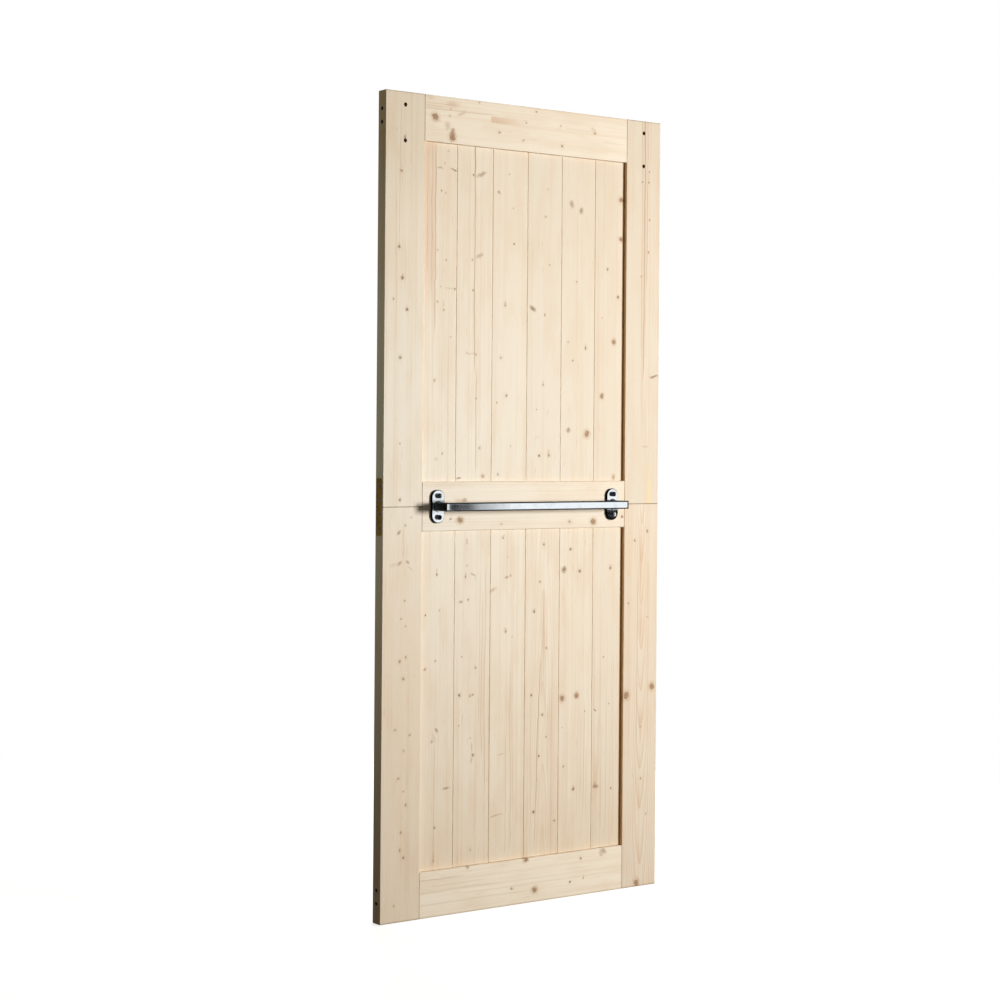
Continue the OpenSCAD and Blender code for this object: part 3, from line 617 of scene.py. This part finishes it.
def layFrameLines(board):  # painted shade lines along the door's foot and top, and dark joints where boards meet end to side
    foot = board.below(board.z - cadLow.z, spruceLook["rimReach"])
    top = board.below(cadHigh.z - board.z, spruceLook["rimReach"]) * spruceLook["rimShadeTop"]
    upright = board.below(board.size(board.facing[2]), pattern["endReach"])
    board.tint((foot + top) * upright, "rim")
    half = (shoulderX if board.alongX else board.high.z - board.middle.z) * toMm
    seam = board.below(half - board.size(board.along), spruceLook["seamReach"])
    board.tint(seam * (1 - board.endways) * pattern["seamShare"], "seam")


def spruce(name, look, seed):
    board = Board(name, look, seed)
    findKnots(board)
    layGrain(board)
    layStreaks(board)
    layFlames(board)
    laySmudges(board)
    layPinKnots(board)
    if board.knotted:
        layBoldKnots(board)
    layPaleWoodAndLight(board)
    layBores(board)
    if "stile" in name:
        layStileTints(board)
    if "plank" in name:
        layPlankTints(board)
    else:
        layFrameLines(board)
    rough = spruceLook["rough"] + board.fibre * pattern["fibreRough"] - board.eye * pattern["eyeRough"]
    height = board.fibre * pattern["bumpFibre"] + board.late * pattern["bumpLate"]
    grain = board.sheet.bump(height + board.eye * pattern["bumpEye"], *pattern["bump"])
    gloss = spruceLook["gloss"]
    return board.sheet.surface(Base_Color=board.wood, Roughness=rough, Specular_IOR_Level=gloss, Normal=grain)


for seed, (name, look) in enumerate(boards.items()):
    dress(name, spruce(name, look, seed + 1))
print("spruce on", len(boards), "boards")


# Polished handle, dull zinc plates and dark screws; a noise is its scale, detail and roughness
chromeLook = dict(
    # side: painted dark reflection on the faces that don't face the front
    base=(0.86, 0.92, 0.96), worn=(0.66, 0.71, 0.76), side=(0.0025, 0.0024, 0.0022),
    rough=0.08, smudge=0.10, sideRough=0.30, speckRough=0.05,
    smudgeNoise=(34.0, 4.0, 0.6), speckNoise=(420.0, 3.0, 0.6), speckReach=(0.55, 0.75),
    wornReach=(0.45, 0.8), wornShare=0.6, frontReach=(0.78, 0.97), speckDent=0.25, dents=(0.10, 0.0006),
    rimEnd=0.0090, rimSide=0.0042, rimReach=(0.05, 0.45), rimShare=1.0,  # painted dark reflection along the bar's outline
    collar=0.0150, collarReach=(0.95, 1.05), collarUp=(0.0, 0.004), collarShare=0.80,
)
zincLook = dict(
    base=(0.500, 0.290, 0.064), stain=(0.335, 0.186, 0.040), rough=0.62, gloss=0.15,
    cloudNoise=(55.0, 4.0, 0.6), cloudReach=(0.35, 0.7),
    scratchScale=(600.0, 600.0, 25.0), scratchDetail=3.0, scratchRough=0.2, scratchBump=(0.12, 0.0002),
)
screwLook = dict(
    base=(0.014, 0.014, 0.016), worn=(0.22, 0.23, 0.24), glint=(0.95, 0.96, 0.98), rough=0.26,
    cloudNoise=(260.0, 3.0, 0.6), cloudReach=(0.55, 0.8), cloudRough=0.2, grit=(0.08, 0.0002),
    # the sunk screws' steel is a darker copy, a painted shade of their deep bores
    sunkShade=0.12, pitch=0.056, glintReach=(0.6, 1.2),
    # painted glints: white matt spots on the flange screws' heads
    paintedGlints=[("right_handle_flange", -1, 0.0024, 0.0058, 1.0),  # flange, end, aside, radius, strength
            ("right_handle_flange", 1, 0.0032, 0.0026, 0.25),
            ("left_handle_flange", 1, 0.0036, 0.0030, 0.40)],
)


def barRimReflection(sheet, x, up, high, middle):  # painted dark reflection: 1 along the right end, top and foot of the bar's front
    past = sheet.maths("MAXIMUM", (x - high.x) / chromeLook["rimEnd"] + 1, 0)
    over = sheet.maths("MAXIMUM", (up - (high.z - middle.z)) / chromeLook["rimSide"] + 1, 0)
    reach = sheet.vector("LENGTH", sheet.join(past, over, 0), out=1)
    return sheet.smooth(reach, *chromeLook["rimReach"]) * chromeLook["rimShare"]


def collarShade(sheet, x, up, rise, flange):  # painted dark reflection of the leg: 1 on the upper half of the collar round it
    low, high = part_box(flange)
    aside = x - (low.x + high.x) / 2
    away = sheet.vector("LENGTH", sheet.join(aside, up, 0), out=1) / chromeLook["collar"]
    collar = 1 - sheet.smooth(away, *chromeLook["collarReach"])
    return collar * sheet.smooth(rise, *chromeLook["collarUp"]) * chromeLook["collarShare"]


def chrome(name):
    sheet = newSheet(name)
    spot = sheet.node("TexCoord", out="Object")
    smudge = sheet.noise(spot, *chromeLook["smudgeNoise"])
    specks = sheet.smooth(sheet.noise(spot, *chromeLook["speckNoise"]), *chromeLook["speckReach"])
    facing = sheet.split(sheet.node("NewGeometry", out="Normal"))
    front = sheet.smooth(0 - facing[1], *chromeLook["frontReach"])
    worn = sheet.smooth(smudge, *chromeLook["wornReach"]) * chromeLook["wornShare"]
    tint = sheet.mix(worn, colour(chromeLook["base"]), colour(chromeLook["worn"]))
    low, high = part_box("handle_bar")
    middle = (low + high) / 2
    x, _, z = sheet.split(spot)
    rise = z - middle.z
    up = sheet.maths("ABSOLUTE", rise)
    if name == "bar chrome":
        shade = barRimReflection(sheet, x, up, high, middle)
    else:
        shade = collarShade(sheet, x, up, rise, name.replace(" chrome", "_handle_flange"))
    front = front * (1 - shade)
    tint = sheet.mix(front, colour(chromeLook["side"]), tint)  # painted dark reflection on every face but those to the front, which are bright
    rough = chromeLook["rough"] + smudge * chromeLook["smudge"] + specks * chromeLook["speckRough"]
    rough = rough + (1 - front) * chromeLook["sideRough"]
    dents = sheet.bump(smudge + specks * chromeLook["speckDent"], *chromeLook["dents"])
    return sheet.surface(Base_Color=tint, Metallic=1.0, Roughness=rough, Normal=dents)


def zinc():
    sheet = newSheet("yellow zinc")
    spot = sheet.node("TexCoord", out="Object")
    cloud = sheet.smooth(sheet.noise(spot, *zincLook["cloudNoise"]), *zincLook["cloudReach"])
    drawn = sheet.vector("MULTIPLY", spot, zincLook["scratchScale"])
    scratch = sheet.noise(drawn, 1.0, zincLook["scratchDetail"])
    tint = sheet.mix(cloud, colour(zincLook["base"]), colour(zincLook["stain"]))
    rough = zincLook["rough"] + scratch * zincLook["scratchRough"]
    marks = sheet.bump(scratch, *zincLook["scratchBump"])
    return sheet.surface(Base_Color=tint, Roughness=rough, Specular_IOR_Level=zincLook["gloss"], Normal=marks)


def screwSteel(name, level, paintedGlints=()):
    sheet = newSheet(name)
    spot = sheet.node("TexCoord", out="Object")
    cloud = sheet.noise(spot, *screwLook["cloudNoise"])
    share = sheet.smooth(cloud, *screwLook["cloudReach"])
    tint = sheet.mix(share, colour(screwLook["base"], level), colour(screwLook["worn"], level))
    rough = screwLook["rough"] + cloud * screwLook["cloudRough"]
    metal = 1.0
    inner, outer = screwLook["glintReach"]
    # a white matt spot on a screw head, a painted glint
    for flange, end, aside, radius, strength in paintedGlints:
        low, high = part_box(flange)
        middle = (low + high) / 2 + Vector((aside, 0, end * screwLook["pitch"] / 2))
        away = sheet.vector("MULTIPLY", sheet.vector("SUBTRACT", spot, middle), (1, 0, 1))
        glint = 1 - sheet.smooth(sheet.vector("LENGTH", away, out=1), radius * inner, radius * outer)
        tint = sheet.mix(glint * strength, tint, colour(screwLook["glint"]))
        metal = metal - glint * strength
    grit = sheet.bump(cloud, *screwLook["grit"])
    return sheet.surface(Base_Color=tint, Metallic=metal, Roughness=rough, Normal=grit)


finishes = {"plate_steel": zinc(), "screw_steel": screwSteel("dark screw steel", 1.0)}
for part in frame["record"]["subparts"]:
    if part["material_slot"] in finishes:
        dress(part["node"], finishes[part["material_slot"]])
dress("handle_bar", chrome("bar chrome"))
for side in ("left", "right"):
    dress(side + "_handle_flange", chrome(side + " chrome"))
# the screws deep in their bores get a darker copy of the steel: painted shade
dress("rail_screws", screwSteel("sunken screw steel in painted shade", screwLook["sunkShade"]))
dress("handle_flange_screws", screwSteel("screw steel with painted glints", 1.0, screwLook["paintedGlints"]))
print("metal finishes on the handle, plates and screws")


# Studio: white surround, pale floor that keeps the shadow, a soft key from the right, fills behind and above
studio = dict(
    ambient=(0.130, 0.117, 0.091),
    floorHalf=14.0, floorGap=0.0005, floorTone=0.75, floorBounce=0.12, floorGlow=0.70,
    fadeStart=1.0, fadeEnd=3.2,
    keyPlace=(3.26, -4.24, 1.40), keyAim=(-0.10, 0.0, 1.45), keySize=(1.1, 1.1), keySpread=100,
    keyPower=97.5,
    backPlace=(1.9, 3.2, 1.5), backAim=(0.0, 0.0, 1.0), backSize=(1.4, 1.8), backSpread=180, backPower=110.0,
    edgePlace=(-2.2, 1.2, 1.9), edgeAim=(-0.46, 0.0, 1.5), edgeSize=(0.8, 0.8), edgeSpread=180,
    edgePower=3.5,
    topPlace=(0.0, 0.07, 3.0), topAim=(0.0, 0.0701, 2.0), topSize=(0.9, 0.08), topSpread=120,
    topPower=2.0,
)


def seenRay(sheet):  # 1 for what the camera, a mirror or glass sees, 0 for the light that reaches the object
    rays = [sheet.node("LightPath", out=f"Is {kind} Ray") for kind in ("Camera", "Glossy", "Transmission")]
    return sheet.maths("MAXIMUM", sheet.maths("MAXIMUM", rays[0], rays[1]), rays[2])


def surround():
    world = bpy.data.worlds.new("white surround")
    bpy.context.scene.world = world
    sheet = Sheet(world)
    light = sheet.node("Background", {}, {"Color": colour(studio["ambient"]), "Strength": 1.0})
    white = sheet.node("Background", {}, {"Color": (1, 1, 1, 1), "Strength": 1.0})
    both = sheet.node("MixShader", {}, {0: seenRay(sheet), 1: light, 2: white})
    sheet.node("OutputWorld", {}, {"Surface": both})


def floor():
    half = studio["floorHalf"]
    mesh = bpy.data.meshes.new("floor")
    corners = [(-half, -half, 0), (half, -half, 0), (half, half, 0), (-half, half, 0)]
    mesh.from_pydata(corners, [], [(0, 1, 2, 3)])
    piece = bpy.data.objects.new("floor", mesh)
    bpy.context.scene.collection.objects.link(piece)
    piece.location.z = cadLow.z - studio["floorGap"]
    sheet = newSheet("white floor")
    seen = seenRay(sheet)
    paint = sheet.node("BsdfDiffuse", {}, {"Color": colour((1, 1, 1), studio["floorTone"])})
    glow = sheet.node("Emission", {}, {"Color": colour((1, 1, 1), studio["floorGlow"])})
    white = sheet.node("Emission", {}, {"Color": (1, 1, 1, 1)})
    lit = sheet.node("AddShader", {}, {0: paint, 1: glow})
    bounce = sheet.node("BsdfDiffuse", {}, {"Color": colour((1, 1, 1), studio["floorBounce"])})
    near = sheet.node("MixShader", {}, {0: seen, 1: bounce, 2: lit})
    far = sheet.node("MixShader", {}, {0: seen, 1: bounce, 2: white})
    reach = sheet.vector("LENGTH", sheet.node("TexCoord", out="Object"), out=1)
    fade = sheet.smooth(reach, studio["fadeStart"], studio["fadeEnd"])
    sheet.node("OutputMaterial", {}, {"Surface": sheet.node("MixShader", {}, {0: fade, 1: near, 2: far})})
    mesh.materials.append(sheet.owner)


def softbox(name, place, aim, size, spread, power):
    lamp = bpy.data.lights.new(name, "AREA")
    lamp.shape = "RECTANGLE"
    lamp.size, lamp.size_y = size
    lamp.spread = math.radians(spread)
    lamp.energy = power
    piece = bpy.data.objects.new(name, lamp)
    piece.location = place
    piece.rotation_mode = "QUATERNION"
    piece.rotation_quaternion = (Vector(aim) - Vector(place)).to_track_quat("-Z", "Y")
    piece.visible_camera = False
    piece.visible_glossy = False  # the metal mirrors the white surround, not the bare lamps
    bpy.context.scene.collection.objects.link(piece)


surround()
floor()
for side in ("key", "back", "edge", "top"):
    softbox(side + " softbox", *[studio[side + part] for part in ("Place", "Aim", "Size", "Spread", "Power")])
print("studio set")


# Camera, level, to the left of the door
cameraLook = dict(
    place=(-3.327, -4.507, 1.229), heading=35.79, roll=0.432,
    sensor=36.0, lens=75.07, shift=-0.0554,
)


def photoCamera():
    lens = bpy.data.cameras.new("photo camera")
    lens.sensor_width = cameraLook["sensor"]
    lens.lens = cameraLook["lens"]
    lens.shift_y = cameraLook["shift"]
    piece = bpy.data.objects.new("photo camera", lens)
    bpy.context.scene.collection.objects.link(piece)
    turn = math.radians(cameraLook["heading"])
    ahead = Vector((math.sin(turn), math.cos(turn), 0))
    roll = Quaternion((0, 0, 1), math.radians(cameraLook["roll"]))
    piece.location = cameraLook["place"]
    piece.rotation_mode = "QUATERNION"
    piece.rotation_quaternion = ahead.to_track_quat("-Z", "Y") @ roll
    bpy.context.scene.camera = piece


photoCamera()
bpy.context.scene.view_settings.view_transform = "Standard"
print("camera set")


# Cards, dark or glowing pale, out of the camera's sight, where it would see them mirrored in the handle's
# front: they paint the handle's reflection
cardLook = dict(
    dark=0.012,
    rises=[((0.05, 0.20), 0.08), ((0.28, 0.55), 0.40), ((0.50, 1.00), 0.36)],  # where and by how much
)
cards = {  # node, shares of its width, height and depth, distance, whether it pales to the right
    "bar card": ("handle_bar", (0.013, 0.335), (-0.1, 1.1), 0.0, 0.10, True),
    "flange card": ("right_handle_flange", (-0.2, 1.2), (-0.3, 0.34), 0.36, 0.06, False),
}


def reflectionCard(name, node, acrossShares, upShares, depthShare, away, pales):
    low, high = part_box(node)
    eye = Vector(cameraLook["place"])
    corners = []
    for acrossShare, upShare in ((0, 0), (1, 0), (1, 1), (0, 1)):
        x = low.x + (high.x - low.x) * acrossShares[acrossShare]
        z = low.z + (high.z - low.z) * upShares[upShare]
        spot = Vector((x, low.y + (high.y - low.y) * depthShare, z))
        ray = (spot - eye).normalized()
        corners.append(spot + Vector((ray.x, -ray.y, ray.z)) * away)
    mesh = bpy.data.meshes.new(name)
    mesh.from_pydata(corners, [], [(0, 1, 2, 3)])
    sheet = newSheet(name)
    share = sheet.split(sheet.node("TexCoord", out="Generated"))[0]
    level = cardLook["dark"]
    for reach, rise in cardLook["rises"] if pales else []:
        level = level + sheet.smooth(share, *reach) * rise
    # the card glows, for mirror rays only, to paint the handle's reflection
    glow = sheet.node("Emission", {}, {"Color": sheet.join(level, level, level)})
    sheet.node("OutputMaterial", {}, {"Surface": glow})
    mesh.materials.append(sheet.owner)
    piece = bpy.data.objects.new(name, mesh)
    for ray in ("camera", "diffuse", "transmission", "volume_scatter", "shadow"):
        setattr(piece, "visible_" + ray, False)
    bpy.context.scene.collection.objects.link(piece)


for name, place in cards.items():
    reflectionCard(name, *place)
print("cards set")
